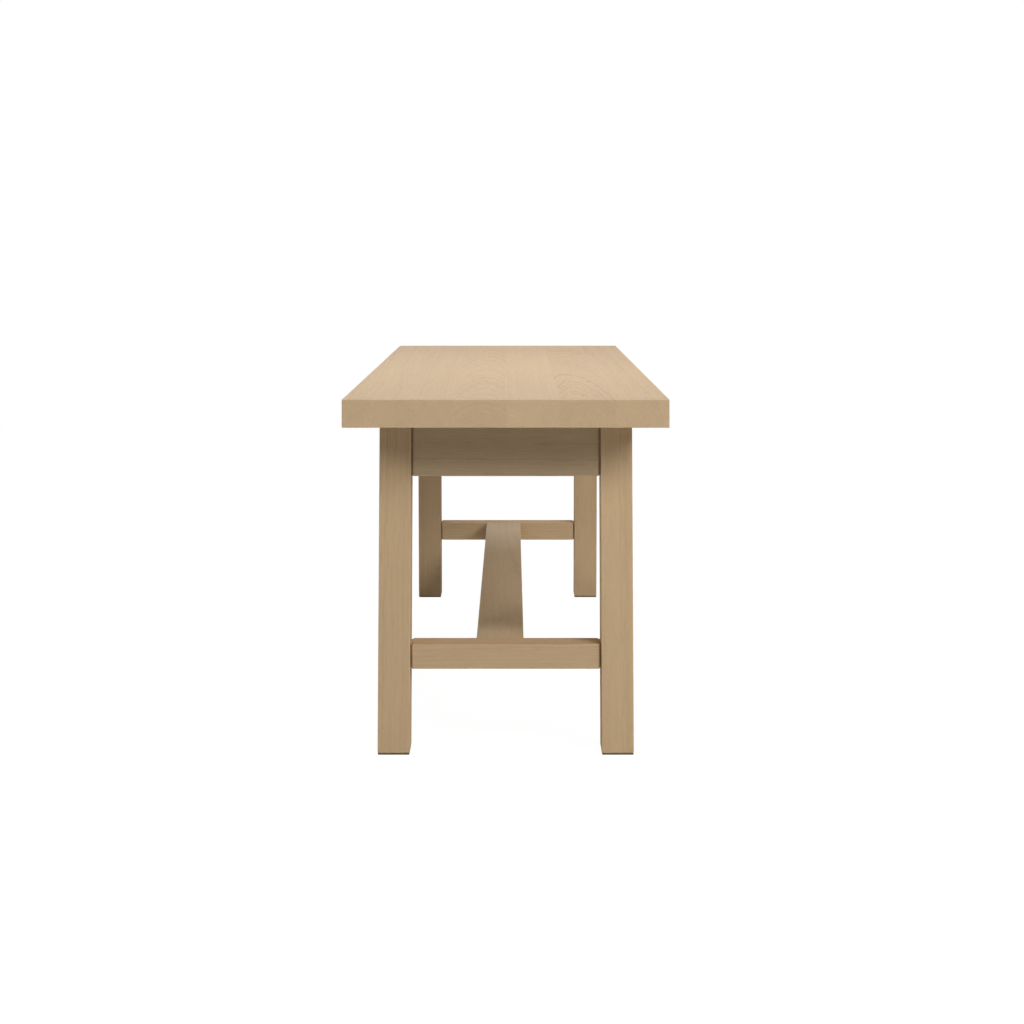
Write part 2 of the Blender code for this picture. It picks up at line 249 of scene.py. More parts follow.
bent = given.outputs["Log place"]
for size, amount in (slow_bend, fine_bend):
    wander = grains(bent, size, 1).outputs["Color"]
    wander = add(figure, "ShaderNodeVectorMath", {0: wander, 1: noise_mean}, operation="SUBTRACT")
    wander = add(figure, "ShaderNodeVectorMath", {0: wander, 1: (amount, amount, 0)}, operation="MULTIPLY")
    bent = add(figure, "ShaderNodeVectorMath", {0: bent, 1: wander}, operation="ADD")
across = add(figure, "ShaderNodeSeparateXYZ", {0: bent})
flat = add(figure, "ShaderNodeCombineXYZ", {"X": across.outputs["X"], "Y": across.outputs["Y"]})
radius = add(figure, "ShaderNodeVectorMath", {0: flat}, operation="LENGTH")

years = add(figure, "ShaderNodeMath", {0: radius, 1: given.outputs["Ring width"]}, operation="DIVIDE")
slow_years = add(figure, "ShaderNodeMath", {0: years, 1: spacing_change}, operation="MULTIPLY")
uneven = add(figure, "ShaderNodeTexNoise", {"W": slow_years, "Scale": 1, "Detail": 2},
             noise_dimensions="1D")
years = add(figure, "ShaderNodeMath", {0: uneven, 1: ring_wander, 2: years}, operation="MULTIPLY_ADD")
jags = grains(given.outputs["Log place"], jag_size, 1)
years = add(figure, "ShaderNodeMath", {0: jags, 1: ring_jags, 2: years}, operation="MULTIPLY_ADD")
year = add(figure, "ShaderNodeMath", {0: years}, operation="FLOOR")
season = add(figure, "ShaderNodeMath", {0: years}, operation="FRACT")
year_tone = add(figure, "ShaderNodeTexWhiteNoise", {"W": year}, noise_dimensions="1D")
rise = add(figure, "ShaderNodeMapRange", {"Value": season, "From Min": 0, "From Max": spring_rise},
           interpolation_type="SMOOTHSTEP")
fall = add(figure, "ShaderNodeMapRange", {"Value": season, "From Min": summer_fall[0],
                                          "From Max": summer_fall[1], "To Min": 1, "To Max": 0},
           interpolation_type="SMOOTHSTEP")
early = add(figure, "ShaderNodeMath", {0: rise, 1: fall}, operation="MULTIPLY")
vigour = add(figure, "ShaderNodeMath", {0: year_tone, 1: year_strength[1], 2: year_strength[0]},
             operation="MULTIPLY_ADD")
early = add(figure, "ShaderNodeMath", {0: early, 1: vigour}, operation="MULTIPLY")

fibres = grains(given.outputs["Log place"], fibre_size, 3)
broken = add(figure, "ShaderNodeMath", {0: fibres, 1: fibre_break[1], 2: fibre_break[0]},
             operation="MULTIPLY_ADD")
early = add(figure, "ShaderNodeMath", {0: early, 1: broken}, operation="MULTIPLY")

open_pores = add(figure, "ShaderNodeMapRange", {"Value": grains(bent, pore_size, 1),
                                                "From Min": pore_levels[0], "From Max": pore_levels[1]},
                 interpolation_type="SMOOTHSTEP")
where_porous = add(figure, "ShaderNodeMath", {0: early, 1: porous_share[1], 2: porous_share[0]},
                   operation="MULTIPLY_ADD")
pores = add(figure, "ShaderNodeMath", {0: open_pores, 1: where_porous}, operation="MULTIPLY")
streaks = grains(given.outputs["Log place"], streak_size, 1)
drift = grains(given.outputs["Log place"], drift_size, 2)

angle = add(figure, "ShaderNodeMath", {0: across.outputs["Y"], 1: across.outputs["X"]}, operation="ARCTAN2")
round_the_log = add(figure, "ShaderNodeMath", {0: angle, 1: ray_radius}, operation="MULTIPLY")
polar = add(figure, "ShaderNodeCombineXYZ", {"X": round_the_log, "Y": radius, "Z": across.outputs["Z"]})
flecks = add(figure, "ShaderNodeMapRange", {"Value": grains(polar, ray_size), "From Min": ray_levels[0],
                                            "From Max": ray_levels[1]}, interpolation_type="SMOOTHSTEP")

clearness = add(figure, "ShaderNodeMath", {0: given.outputs["Sawn end"], 1: -sawn_end_cover, 2: 1},
                operation="MULTIPLY_ADD")
clearness = add(figure, "ShaderNodeMath", {0: clearness, 1: given.outputs["Clearness"]},
                operation="MULTIPLY")
early_share = add(figure, "ShaderNodeMath", {0: early, 1: clearness}, operation="MULTIPLY")
early_share = add(figure, "ShaderNodeMath", {0: early_share, 1: ring_contrast}, operation="MULTIPLY")
wood = add(figure, "ShaderNodeMix", {"Factor": early_share, 6: linear(late_wood), 7: linear(early_wood)},
           data_type="RGBA")
fleck_share = add(figure, "ShaderNodeMath", {0: given.outputs["Sawn end"], 1: sawn_end_flecks,
                                             2: fleck_contrast}, operation="MULTIPLY_ADD")
fleck_share = add(figure, "ShaderNodeMath", {0: flecks, 1: fleck_share}, operation="MULTIPLY")
wood = add(figure, "ShaderNodeMix", {"Factor": fleck_share, 6: wood, 7: linear(ray_cream)},
           data_type="RGBA")
pore_share = add(figure, "ShaderNodeMath", {0: pores, 1: clearness}, operation="MULTIPLY")
pore_share = add(figure, "ShaderNodeMath", {0: pore_share, 1: pore_contrast}, operation="MULTIPLY")
wood = add(figure, "ShaderNodeMix", {"Factor": pore_share, 6: wood, 7: linear(pore_brown)},
           data_type="RGBA")
base_tone = 1 - (fibre_tone + drift_tone + streak_tone) / 2
tone = add(figure, "ShaderNodeMath", {0: fibres, 1: fibre_tone, 2: base_tone}, operation="MULTIPLY_ADD")
tone = add(figure, "ShaderNodeMath", {0: drift, 1: drift_tone, 2: tone}, operation="MULTIPLY_ADD")
tone = add(figure, "ShaderNodeMath", {0: streaks, 1: streak_tone, 2: tone}, operation="MULTIPLY_ADD")
# Painted light: sawn ends are painted a little lighter.
tone = add(figure, "ShaderNodeMath", {0: given.outputs["Sawn end"], 1: sawn_end_painted_light, 2: tone},
           operation="MULTIPLY_ADD")
wood = add(figure, "ShaderNodeVectorMath", {0: wood, "Scale": tone}, operation="SCALE")
relief = add(figure, "ShaderNodeMath", {0: fibres, 1: fibre_relief}, operation="MULTIPLY")
relief = add(figure, "ShaderNodeMath", {0: relief, 1: pores}, operation="SUBTRACT")
add(figure, "NodeGroupOutput", {"Colour": wood, "Pores": pores, "Relief": relief})


def oak_board(node, grain, pith, tilt=(0, 0), seed=0.0, tone=1.0, tint=(1, 1, 1), clear=0.6, lean=0.0,
              panel=None, polish=full_polish):
    """Give a board its own piece of the log: the way its grain runs and where the pith lay from it."""
    material, tree = empty_material("matt_oiled_oak_" + node)
    low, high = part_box(node)
    middle = (low + high) / 2
    turn = {"x": (0, pi / 2, 0), "y": (-pi / 2, 0, 0), "z": (0, 0, 0)}[grain]
    turn = (turn[0] + radians(tilt[0]), turn[1] + radians(tilt[1]), turn[2])
    here = add(tree, "ShaderNodeTexCoord")
    log = add(tree, "ShaderNodeMapping", {"Vector": here.outputs["Object"],
                                          "Location": middle + Vector(pith), "Rotation": turn},
              vector_type="TEXTURE")
    along = {"x": (1, 0, 0), "y": (0, 1, 0), "z": (0, 0, 1)}[grain]
    facing = add(tree, "ShaderNodeVectorMath", {0: here.outputs["Normal"], 1: along},
                 operation="DOT_PRODUCT")
    facing = add(tree, "ShaderNodeMath", {0: facing}, operation="ABSOLUTE")
    sawn = add(tree, "ShaderNodeMapRange", {"Value": facing, "From Min": sawn_facing[0],
                                            "From Max": sawn_facing[1]}, interpolation_type="SMOOTHSTEP")
    wood = add(tree, "ShaderNodeGroup", node_tree=figure)
    tree.links.new(log.outputs[0], wood.inputs["Log place"])
    tree.links.new(sawn.outputs[0], wood.inputs["Sawn end"])
    wood.inputs["Seed"].default_value = seed
    wood.inputs["Ring width"].default_value = ring_width
    wood.inputs["Clearness"].default_value = clear

    # A line along each edge is painted paler, a painted highlight, and is a little smoother than the faces.
    # A point's depth under each pair of faces is measured from the board's middle, with its lean
    # taken out, and the second smallest of the three depths is its distance from the nearest edge.
    # In a glued panel, the panel's edges count and not the board's.
    low, high = panel or (low, high)
    middle = (low + high) / 2
    from_middle = add(tree, "ShaderNodeVectorMath", {0: here.outputs["Object"], 1: middle},
                      operation="SUBTRACT")
    parts = add(tree, "ShaderNodeSeparateXYZ", {0: from_middle})
    straight = add(tree, "ShaderNodeMath", {0: parts.outputs["Z"], 1: -lean, 2: parts.outputs["Y"]},
                   operation="MULTIPLY_ADD")
    half = (high - low) / 2
    half.y -= abs(lean) * half.z
    depths = []
    for reach, size in ((parts.outputs["X"], half.x), (straight, half.y), (parts.outputs["Z"], half.z)):
        reach = add(tree, "ShaderNodeMath", {0: reach}, operation="ABSOLUTE")
        depths.append(add(tree, "ShaderNodeMath", {0: size, 1: reach}, operation="SUBTRACT"))
    less = add(tree, "ShaderNodeMath", {0: depths[0], 1: depths[1]}, operation="MINIMUM")
    more = add(tree, "ShaderNodeMath", {0: depths[0], 1: depths[1]}, operation="MAXIMUM")
    more = add(tree, "ShaderNodeMath", {0: more, 1: depths[2]}, operation="MINIMUM")
    from_edge = add(tree, "ShaderNodeMath", {0: less, 1: more}, operation="MAXIMUM")
    edge_highlight_line = add(tree, "ShaderNodeMapRange", {"Value": from_edge, "From Min": 0, "From Max": edge_line_width,
                                              "To Min": 1, "To Max": 0}, interpolation_type="SMOOTHSTEP")

    # Painted highlight: the line along each edge is painted paler than the faces.
    paler = add(tree, "ShaderNodeMath", {0: edge_highlight_line, 1: painted_edge_highlight * tone, 2: tone},
                operation="MULTIPLY_ADD")
    shade = add(tree, "ShaderNodeVectorMath", {0: wood.outputs["Colour"], "Scale": paler},
                operation="SCALE")
    shade = add(tree, "ShaderNodeVectorMath", {0: shade, 1: tint}, operation="MULTIPLY")
    dull = add(tree, "ShaderNodeMath", {0: wood.outputs["Pores"], 1: pore_roughness, 2: oak_roughness},
               operation="MULTIPLY_ADD")
    dull = add(tree, "ShaderNodeMath", {0: edge_highlight_line, 1: -edge_smoothness, 2: dull},
               operation="MULTIPLY_ADD")
    bump = add(tree, "ShaderNodeBump", {"Height": wood.outputs["Relief"], "Strength": relief_strength,
                                        "Distance": relief_depth})
    shader = add(tree, "ShaderNodeBsdfPrincipled", {"Base Color": shade, "Roughness": dull, "Normal": bump,
                                                    "IOR": oak_ior, "Specular IOR Level": polish})
    add(tree, "ShaderNodeOutputMaterial", {"Surface": shader})
    board = nodes[node]
    board.data.materials.clear()
    board.data.materials.append(material)


seat_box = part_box("top_stave_1")[0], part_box("top_stave_%d" % len(staves))[1]
for number, stave in enumerate(staves, start=1):
    oak_board("top_stave_%d" % number, "y", panel=seat_box, **stave)

# Glue lines of the seat. A film of white joiner's glue fills each joint between two staves and
# dries to the colour of pale honey; it is scraped and sanded flush, so the joints hardly show.
pale_glue = "#CBAE88"
deep_glue = "#BC9F78"
glue_ior = 1.47
glue_roughness = (0.45, 0.65)
clot_size = (0.00333, 0.025, 0.00333)
clot_strength = 0.2
clot_relief = 0.0001
glue_corner = 0.0010
glue_corner_points = 3
merge_distance = 0.00001

glue, tree = empty_material("dried_joiners_glue")
here = add(tree, "ShaderNodeTexCoord")
scaled = add(tree, "ShaderNodeMapping", {"Vector": here.outputs["Object"],
                                         "Scale": [1 / side for side in clot_size]})
clots = add(tree, "ShaderNodeTexNoise", {"Vector": scaled, "Scale": 1, "Detail": 2})
colour = add(tree, "ShaderNodeMix", {"Factor": clots, 6: linear(deep_glue), 7: linear(pale_glue)},
             data_type="RGBA")
dull = add(tree, "ShaderNodeMapRange", {"Value": clots, "To Min": glue_roughness[0],
                                        "To Max": glue_roughness[1]})
bump = add(tree, "ShaderNodeBump", {"Height": clots, "Strength": clot_strength, "Distance": clot_relief})
shader = add(tree, "ShaderNodeBsdfPrincipled", {"Base Color": colour, "Roughness": dull, "Normal": bump,
                                                "IOR": glue_ior})
add(tree, "ShaderNodeOutputMaterial", {"Surface": shader})

# The tree draws one film's outline with rounded corners, fills it, gives it the width of the joint
# and repeats it from joint to joint.
films = bpy.data.node_groups.new("rows_of_glue_films", "GeometryNodeTree")
for name, kind in (("Length", "Float"), ("Height", "Float"), ("Joint width", "Float"),
                   ("Corner", "Float"), ("Corner points", "Int"), ("Turn", "Vector"), ("Count", "Int"),
                   ("First place", "Vector"), ("Step", "Vector"), ("Glue", "Material")):
    films.interface.new_socket(name, in_out="INPUT", socket_type="NodeSocket" + kind)
films.interface.new_socket("Films", in_out="OUTPUT", socket_type="NodeSocketGeometry")
given = add(films, "NodeGroupInput")
outline = add(films, "GeometryNodeCurvePrimitiveQuadrilateral", {"Width": given.outputs["Length"],
                                                                 "Height": given.outputs["Height"]})
outline = add(films, "GeometryNodeFilletCurve", {"Curve": outline, "Count": given.outputs["Corner points"],
                                                 "Radius": given.outputs["Corner"]}, mode="POLY")
sheet = add(films, "GeometryNodeFillCurve", {0: outline}, mode="NGONS")
film = add(films, "GeometryNodeExtrudeMesh", {"Mesh": sheet, "Offset Scale": given.outputs["Joint width"],
                                              "Individual": False})
back = add(films, "GeometryNodeFlipFaces", {"Mesh": sheet})
film = add(films, "GeometryNodeJoinGeometry", {0: film.outputs["Mesh"]})
films.links.new(back.outputs[0], film.inputs[0])
film = add(films, "GeometryNodeMergeByDistance", {"Geometry": film, "Distance": merge_distance})
half_width = add(films, "ShaderNodeMath", {0: given.outputs["Joint width"], 1: -0.5}, operation="MULTIPLY")
centred = add(films, "ShaderNodeCombineXYZ", {"Z": half_width})
film = add(films, "GeometryNodeTransform", {"Geometry": film, "Translation": centred})
film = add(films, "GeometryNodeTransform", {"Geometry": film, "Rotation": given.outputs["Turn"]})
places = add(films, "GeometryNodeMeshLine", {"Count": given.outputs["Count"],
                                             "Start Location": given.outputs["First place"],
                                             "Offset": given.outputs["Step"]})
row = add(films, "GeometryNodeInstanceOnPoints", {"Points": places, "Instance": film})
row = add(films, "GeometryNodeRealizeInstances", {"Geometry": row})
row = add(films, "GeometryNodeSetMaterial", {"Geometry": row, "Material": given.outputs["Glue"]})
add(films, "NodeGroupOutput", {"Films": row})


def made_by(tree, name, values):
    """Return a plain mesh object made by a Geometry Nodes tree from its named inputs."""
    piece = bpy.data.objects.new(name, bpy.data.meshes.new(name))
    bpy.context.scene.collection.objects.link(piece)
    shape = piece.modifiers.new("shape", "NODES")
    shape.node_group = tree
    for item in tree.interface.items_tree:
        if item.in_out == "INPUT":
            shape[item.identifier] = values[item.name]
    settled = piece.evaluated_get(bpy.context.evaluated_depsgraph_get())
    plain = bpy.data.meshes.new_from_object(settled)
    plain.materials.pop(index=0)
    piece.modifiers.clear()
    piece.data = plain
    plain.name = name
    return piece


first_low, first_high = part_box("top_stave_1")
second_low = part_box("top_stave_2")[0]
joint_width = second_low.x - first_high.x
stave_pitch = second_low.x - first_low.x
seat_glue = made_by(films, "seat_glue_lines", {
    "Length": first_high.y - first_low.y, "Height": first_high.z - first_low.z, "Joint width": joint_width,
    "Corner": glue_corner, "Corner points": glue_corner_points, "Turn": (pi / 2, 0, pi / 2),
    "Count": len(staves) - 1,
    "First place": (first_high.x + joint_width / 2, (first_low.y + first_high.y) / 2,
                    (first_low.z + first_high.z) / 2),
    "Step": (stave_pitch, 0, 0), "Glue": glue})
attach(seat_glue, "root")

# Legs. Four solid oak bars that lean outwards along the bench, cut parallel to the floor at both
# ends, with their edges eased by a plane. The grain runs up them, straight and close, and their oil
# is wiped off drier than on the seat, so they shine less.
lean_degrees = 5
leg_lean = tan(radians(lean_degrees))
left_leg = dict(pith=(0.060, 0.080, 0), polish=low_polish)
right_leg = dict(pith=(-0.030, 0.110, 0), polish=low_polish)
# The back legs are painted a little darker than the front ones: painted shade of the far end.
for end, outwards, seeds, tones in (("front", -1, (8.0, 12.0), (1.01, 1.03)),
                                    ("back", 1, (18.0, 22.0), (0.94, 0.95))):
    slant = outwards * lean_degrees
    lean = -outwards * leg_lean
    oak_board("%s_left_leg" % end, "z", tilt=(slant, 0.4), seed=seeds[0], tone=tones[0], lean=lean,
              **left_leg)
    oak_board("%s_right_leg" % end, "z", tilt=(slant, -0.4), seed=seeds[1], tone=tones[1], lean=lean,
              **right_leg)

# Aprons. One oak board stands on edge between the legs at each end, close under the seat. Tenons
# hold it in the legs, and a groove down its faces at each end leaves a shadow line along the leg.
# It is painted a little darker and greyer than the legs: painted shade, as it lies close under the seat.
apron = dict(pith=(0, 0.030, -0.110), tilt=(0, 0.4), tone=0.91, tint=(0.97, 1.00, 1.03))
for end, seed in (("front", 21.0), ("back", 24.3)):
    oak_board("%s_apron" % end, "x", seed=seed, **apron)

# Stretchers. A low oak rail ties each pair of legs near the floor, tenoned in like the apron, with
# a socket in its inner side for the beam. It shines as little as the legs.
stretcher = dict(pith=(0, 0.070, -0.080), tilt=(0, -0.4), polish=low_polish)
# The back stretcher is painted a little darker than the front one: painted shade of the far end.
for end, seed, tone in (("front", 27.0, 0.99), ("back", 30.3, 0.96)):
    oak_board("%s_stretcher" % end, "x", seed=seed, tone=tone, **stretcher)

# Beam. One long flat oak bar joins the two stretchers, flush with their tops. Its shoulders are
# cut to the lean of the stretchers and glued tight, so no dark line shows there.
# The beam is painted a little darker and greyer than the legs: painted shade, as it lies under the seat.
beam = dict(pith=(0.040, 0, -0.090), tilt=(0.5, 0), seed=33.0, tone=0.95, tint=(0.94, 0.99, 1.03),
            clear=0.45)
oak_board("centre_beam", "y", **beam)

leaning_rail_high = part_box("front_stretcher")[1]
beam_low, beam_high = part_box("centre_beam")
beam_height = beam_high.z - beam_low.z
joint_reach = leaning_rail_high.y - (leaning_rail_high.z - (beam_low.z + beam_high.z) / 2) * leg_lean
for end, inwards in (("front", 1), ("back", -1)):
    beam_glue = made_by(films, "%s_beam_glue_line" % end, {
        "Length": beam_high.x - beam_low.x, "Height": beam_height / cos(radians(lean_degrees)),
        "Joint width": joint_width, "Corner": glue_corner, "Corner points": glue_corner_points,
        "Turn": (pi / 2 - inwards * radians(lean_degrees), 0, 0), "Count": 1,
        "First place": ((beam_low.x + beam_high.x) / 2, inwards * (joint_reach + joint_width / 2),
                        (beam_low.z + beam_high.z) / 2),
        "Step": (0, 0, 0), "Glue": glue})
    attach(beam_glue, "root")

# Cleats. An oak batten behind each apron carries the fixings. Slots in it let the wide seat swell
# and shrink across the grain, and each screw head sits in a counterbore.
cleat = dict(pith=(0, 0.090, 0.060), tilt=(0, 0.5), tone=0.94)
for end, seed in (("front", 37.0), ("back", 40.3)):
    oak_board("%s_cleat" % end, "x", seed=seed, **cleat)

# Screws. Steel pan-head wood screws with a cross recess: four hold each end of the seat up through
# the cleat, three hold each cleat to its apron. Rolled thread, cold-formed head, bright zinc
# plating, which is silvery with a faint blue cast and slightly cloudy.
seat_screw_count = 4
apron_screw_count = 3
screw_radius = 0.00225
head_height = 0.0030
thread_pitch = 0.0022
thread_depth = 0.0006
thread_start = (0.30, 0.36)
tip_length = 0.004
recess_width = 0.0011
recess_length = 0.0046
recess_depth = 0.0018
recess_sink = 0.4
steps_round = 20
rows_per_turn = 5
dome_rows = 6
smooth_limit = radians(35)
cloud_size = 0.00222
crystal_size = 0.00025
crystal_strength = 0.15
crystal_relief = 0.00005
zinc_roughness = (0.22, 0.42)
blue_zinc = "#BFC4C8"
grey_zinc = "#D3D4D0"

zinc, tree = empty_material("bright_zinc_plated_steel")
here = add(tree, "ShaderNodeTexCoord")
scaled = add(tree, "ShaderNodeMapping", {"Vector": here.outputs["Object"],
                                         "Scale": (1 / cloud_size,) * 3})
clouds = add(tree, "ShaderNodeTexNoise", {"Vector": scaled, "Scale": 1, "Detail": 3})
scaled = add(tree, "ShaderNodeMapping", {"Vector": here.outputs["Object"],
                                         "Scale": (1 / crystal_size,) * 3})
crystals = add(tree, "ShaderNodeTexNoise", {"Vector": scaled, "Scale": 1, "Detail": 1})
colour = add(tree, "ShaderNodeMix", {"Factor": clouds, 6: linear(blue_zinc), 7: linear(grey_zinc)},
             data_type="RGBA")
dull = add(tree, "ShaderNodeMapRange", {"Value": clouds, "To Min": zinc_roughness[0],
                                        "To Max": zinc_roughness[1]})
bump = add(tree, "ShaderNodeBump", {"Height": crystals, "Strength": crystal_strength,
                                    "Distance": crystal_relief})
shader = add(tree, "ShaderNodeBsdfPrincipled", {"Base Color": colour, "Roughness": dull, "Normal": bump,
                                                "Metallic": 1})
add(tree, "ShaderNodeOutputMaterial", {"Surface": shader})

# The tree bends a flat grid into one screw: its columns go round, and its rows go down the screw
# from the middle of the head to the tip. A cross is cut in the head, and the row is repeated.
screws = bpy.data.node_groups.new("rows_of_pan_head_screws", "GeometryNodeTree")
for name, kind in (("Length", "Float"), ("Shank radius", "Float"), ("Head radius", "Float"),
                   ("Head height", "Float"), ("Tip length", "Float"), ("Thread pitch", "Float"),
                   ("Thread depth", "Float"), ("Recess width", "Float"), ("Recess length", "Float"),
                   ("Recess depth", "Float"), ("Steps round", "Int"), ("Dome rows", "Int"),
                   ("Shank rows", "Int"), ("Turn", "Vector"), ("Count", "Int"), ("First place", "Vector"),
                   ("Step", "Vector"), ("Metal", "Material")):
    screws.interface.new_socket(name, in_out="INPUT", socket_type="NodeSocket" + kind)
screws.interface.new_socket("Screws", in_out="OUTPUT", socket_type="NodeSocketGeometry")
given = add(screws, "NodeGroupInput")
rows = add(screws, "ShaderNodeMath", {0: given.outputs["Dome rows"], 1: given.outputs["Shank rows"]})
columns = add(screws, "ShaderNodeMath", {0: given.outputs["Steps round"], 1: 1})
rows_in_all = add(screws, "ShaderNodeMath", {0: rows, 1: 2})
grid = add(screws, "GeometryNodeMeshGrid", {"Size X": 1, "Size Y": 1, "Vertices X": columns,
                                            "Vertices Y": rows_in_all})
place = add(screws, "GeometryNodeInputPosition")
place = add(screws, "ShaderNodeSeparateXYZ", {0: place})
round_share = add(screws, "ShaderNodeMath", {0: place.outputs["X"], 1: 0.5})
down_share = add(screws, "ShaderNodeMath", {0: place.outputs["Y"], 1: 0.5})
last_row = add(screws, "ShaderNodeMath", {0: rows_in_all, 1: 1}, operation="SUBTRACT")
row_number = add(screws, "ShaderNodeMath", {0: down_share, 1: last_row}, operation="MULTIPLY")

dome_share = add(screws, "ShaderNodeMath", {0: row_number, 1: given.outputs["Dome rows"]},
                 operation="DIVIDE", use_clamp=True)
dome_angle = add(screws, "ShaderNodeMath", {0: dome_share, 1: pi / 2}, operation="MULTIPLY")
dome_out = add(screws, "ShaderNodeMath", {0: dome_angle}, operation="SINE")
dome_radius = add(screws, "ShaderNodeMath", {0: dome_out, 1: given.outputs["Head radius"]},
                  operation="MULTIPLY")
dome_down = add(screws, "ShaderNodeMath", {0: dome_angle}, operation="COSINE")
dome_fall = add(screws, "ShaderNodeMath", {0: dome_down, 1: given.outputs["Head height"]},
                operation="MULTIPLY")
dome_level = add(screws, "ShaderNodeMath", {0: 0, 1: dome_fall}, operation="SUBTRACT")

past_dome = add(screws, "ShaderNodeMath", {0: row_number, 1: given.outputs["Dome rows"]},
                operation="SUBTRACT")
past_dome = add(screws, "ShaderNodeMath", {0: past_dome, 1: 1}, operation="SUBTRACT")
shank_share = add(screws, "ShaderNodeMath", {0: past_dome, 1: given.outputs["Shank rows"]},
                  operation="DIVIDE", use_clamp=True)
shank_level = add(screws, "ShaderNodeMath", {0: shank_share, 1: given.outputs["Length"]},
                  operation="MULTIPLY")
turns = add(screws, "ShaderNodeMath", {0: shank_level, 1: given.outputs["Thread pitch"]},
            operation="DIVIDE")
turns = add(screws, "ShaderNodeMath", {0: turns, 1: round_share}, operation="SUBTRACT")
flank = add(screws, "ShaderNodeMath", {0: turns, 1: 0.5}, operation="PINGPONG")
flank = add(screws, "ShaderNodeMath", {0: flank, 1: 2}, operation="MULTIPLY")
groove = add(screws, "ShaderNodeMath", {0: 1, 1: flank}, operation="SUBTRACT")
groove = add(screws, "ShaderNodeMath", {0: groove, 1: given.outputs["Thread depth"]},
             operation="MULTIPLY")
threaded = add(screws, "ShaderNodeMapRange", {"Value": shank_share, "From Min": thread_start[0],
                                               "From Max": thread_start[1]})
groove = add(screws, "ShaderNodeMath", {0: groove, 1: threaded}, operation="MULTIPLY")
shank_radius = add(screws, "ShaderNodeMath", {0: given.outputs["Shank radius"], 1: groove},
                   operation="SUBTRACT")
to_tip = add(screws, "ShaderNodeMath", {0: given.outputs["Length"], 1: shank_level},
             operation="SUBTRACT")
taper = add(screws, "ShaderNodeMath", {0: to_tip, 1: given.outputs["Tip length"]}, operation="DIVIDE",
            use_clamp=True)
shank_radius = add(screws, "ShaderNodeMath", {0: shank_radius, 1: taper}, operation="MULTIPLY")

on_shank = add(screws, "ShaderNodeMath", {0: past_dome, 1: -0.5}, operation="GREATER_THAN")
radius = add(screws, "ShaderNodeMix", {"Factor": on_shank, 2: dome_radius, 3: shank_radius})
level = add(screws, "ShaderNodeMix", {"Factor": on_shank, 2: dome_level, 3: shank_level})
angle = add(screws, "ShaderNodeMath", {0: round_share, 1: 2 * pi}, operation="MULTIPLY")
east = add(screws, "ShaderNodeMath", {0: angle}, operation="COSINE")
east = add(screws, "ShaderNodeMath", {0: east, 1: radius}, operation="MULTIPLY")
north = add(screws, "ShaderNodeMath", {0: angle}, operation="SINE")
north = add(screws, "ShaderNodeMath", {0: north, 1: radius}, operation="MULTIPLY")
turned = add(screws, "ShaderNodeCombineXYZ", {"X": east, "Y": north, "Z": level})
screw = add(screws, "GeometryNodeSetPosition", {"Geometry": grid, "Position": turned})
screw = add(screws, "GeometryNodeMergeByDistance", {"Geometry": screw, "Distance": merge_distance})

arm = add(screws, "ShaderNodeCombineXYZ", {"X": given.outputs["Recess length"],
                                           "Y": given.outputs["Recess width"],
                                           "Z": given.outputs["Recess depth"]})
arm = add(screws, "GeometryNodeMeshCube", {"Size": arm})
other_arm = add(screws, "GeometryNodeTransform", {"Geometry": arm, "Rotation": (0, 0, pi / 2)})
head_bottom = add(screws, "ShaderNodeMath", {0: 0, 1: given.outputs["Head height"]}, operation="SUBTRACT")
recess_middle = add(screws, "ShaderNodeMath", {0: given.outputs["Recess depth"], 1: recess_sink,
                                               2: head_bottom}, operation="MULTIPLY_ADD")
recess_place = add(screws, "ShaderNodeCombineXYZ", {"Z": recess_middle})
arm = add(screws, "GeometryNodeTransform", {"Geometry": arm, "Translation": recess_place})
other_arm = add(screws, "GeometryNodeTransform", {"Geometry": other_arm, "Translation": recess_place})
cut = add(screws, "GeometryNodeMeshBoolean", {"Mesh 1": screw}, operation="DIFFERENCE", solver="EXACT")
screws.links.new(arm.outputs[0], cut.inputs["Mesh 2"])
screws.links.new(other_arm.outputs[0], cut.inputs["Mesh 2"])
smooth = add(screws, "GeometryNodeSetShadeSmooth", {"Geometry": cut.outputs["Mesh"]})
bend = add(screws, "GeometryNodeInputMeshEdgeAngle")
soft_edges = add(screws, "ShaderNodeMath", {0: bend.outputs["Unsigned Angle"], 1: smooth_limit},
                 operation="LESS_THAN")
smooth = add(screws, "GeometryNodeSetShadeSmooth", {"Geometry": smooth, "Shade Smooth": soft_edges},
             domain="EDGE")
screw = add(screws, "GeometryNodeTransform", {"Geometry": smooth, "Rotation": given.outputs["Turn"]})
places = add(screws, "GeometryNodeMeshLine", {"Count": given.outputs["Count"],
                                              "Start Location": given.outputs["First place"],
                                              "Offset": given.outputs["Step"]})
row = add(screws, "GeometryNodeInstanceOnPoints", {"Points": places, "Instance": screw})
row = add(screws, "GeometryNodeRealizeInstances", {"Geometry": row})
row = add(screws, "GeometryNodeSetMaterial", {"Geometry": row, "Material": given.outputs["Metal"]})
add(screws, "NodeGroupOutput", {"Screws": row})


def row_of_places(nodes_in_row, head_at):
    """Return the place of a row's first head and the step to the next, from the boxes of its CAD nodes."""
    middles = []
    for node in nodes_in_row:
        low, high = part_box(node)
        middle = (low + high) / 2
        middles.append(head_at(low, high, middle))
    return middles[0], (middles[-1] - middles[0]) / (len(middles) - 1)


